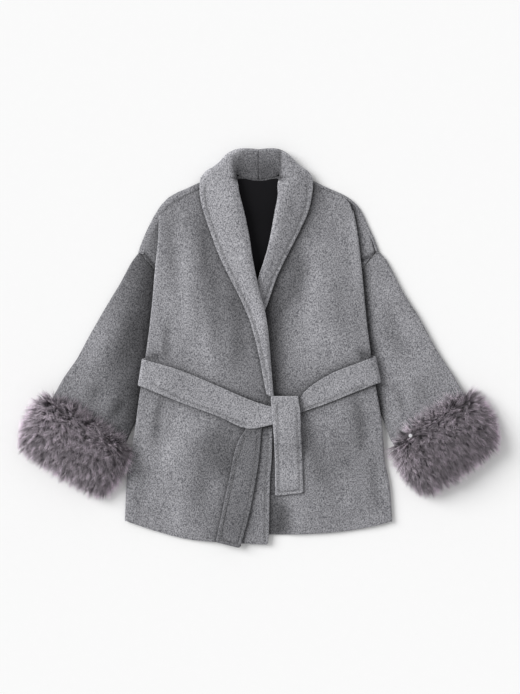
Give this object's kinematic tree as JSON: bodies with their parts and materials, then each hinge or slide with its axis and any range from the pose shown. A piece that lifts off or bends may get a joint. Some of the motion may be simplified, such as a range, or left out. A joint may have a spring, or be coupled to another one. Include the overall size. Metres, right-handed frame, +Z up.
{
  "type": "wrap coat",
  "caption": "Short wool wrap coat laid flat on its back, with a shawl collar, wide dropped sleeves, long-haired fur cuffs and a knotted tie belt.",
  "frame": {"origin": "under the middle of the whole coat, on the surface it lies on", "axes": "+Z up from the surface, +Y from the hem to the collar, +X towards the wearer's left sleeve"},
  "size_m": [1.0968, 0.9004, 0.0583],
  "materials": {
    "grey_wool": "brushed heathered wool",
    "black_lining": "smooth woven lining",
    "mauve_fur": "long soft fur",
    "clear_bead": "clear bead"
  },
  "bodies": {
    "root": {"back_panel": "grey_wool", "front_right": "grey_wool", "front_left": "grey_wool", "drop_shoulder_right": "grey_wool", "drop_shoulder_left": "grey_wool", "sleeve_right": "grey_wool", "sleeve_left": "grey_wool", "collar_right": "grey_wool", "collar_left": "grey_wool", "belt_back": "grey_wool", "belt_run_right": "grey_wool", "belt_run_left": "grey_wool", "belt_front_end": "grey_wool", "belt_under_end": "grey_wool", "back_lining": "black_lining", "cuff_right": "mauve_fur", "cuff_left": "mauve_fur", "cuff_button": "clear_bead"}
  },
  "joints": []
}
